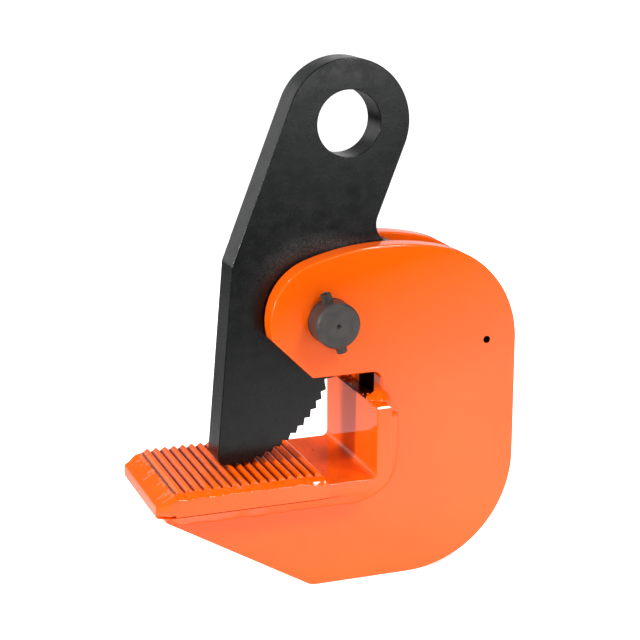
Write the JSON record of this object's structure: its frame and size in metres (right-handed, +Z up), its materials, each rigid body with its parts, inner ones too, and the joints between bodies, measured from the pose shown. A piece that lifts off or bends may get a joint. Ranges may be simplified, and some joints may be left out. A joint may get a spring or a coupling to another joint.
{
  "type": "plate lifting clamp",
  "caption": "Lifting clamp that grips the edge of a flat steel plate between a serrated jaw and a toothed cam pulled by a shackle eye.",
  "frame": {"origin": "middle of the footprint box at floor level, with the clamp standing on the flat bottom edges of its side plates", "axes": "+Z up towards the lifting eye; +X from the open jaw tip to the back of the body; Y along the pivot pin, across the plates"},
  "size_m": [0.1782, 0.066, 0.2428],
  "materials": {
    "orange_paint": "gloss orange paint",
    "black_steel": "satin black",
    "pin_steel": "dark phosphate coating",
    "bronze": "machined bronze",
    "washer_steel": "plain steel"
  },
  "bodies": {
    "frame": {"side_plate_front": "orange_paint", "side_plate_rear": "orange_paint", "jaw_bar": "orange_paint", "jaw_pad": "orange_paint", "pad_weld_tip": "orange_paint", "pad_weld_front": "orange_paint", "pad_weld_rear": "orange_paint", "pad_weld_throat": "orange_paint", "bar_weld_front": "orange_paint", "bar_weld_rear": "orange_paint", "upright_end_weld_front": "orange_paint", "upright_end_weld_rear": "orange_paint", "rear_spacer": "orange_paint", "lower_spacer": "orange_paint"},
    "cam": {"cam": "black_steel", "cam_bush": "bronze", "cam_washer_front": "washer_steel", "cam_washer_rear": "washer_steel"},
    "pin": {"pivot_pin": "pin_steel", "spring_pin_front": "pin_steel", "spring_pin_rear": "pin_steel"}
  },
  "joints": [
    {"name": "cam_pivot", "type": "hinge", "parent": "frame", "child": "cam", "pos_m": [-0.00395, 0, 0.127], "axis": [0, 1, 0], "range_deg": [0, 48]},
    {"name": "pin_spin", "type": "hinge", "parent": "frame", "child": "pin", "pos_m": [-0.00395, 0, 0.127], "axis": [0, 1, 0], "continuous": true}
  ]
}
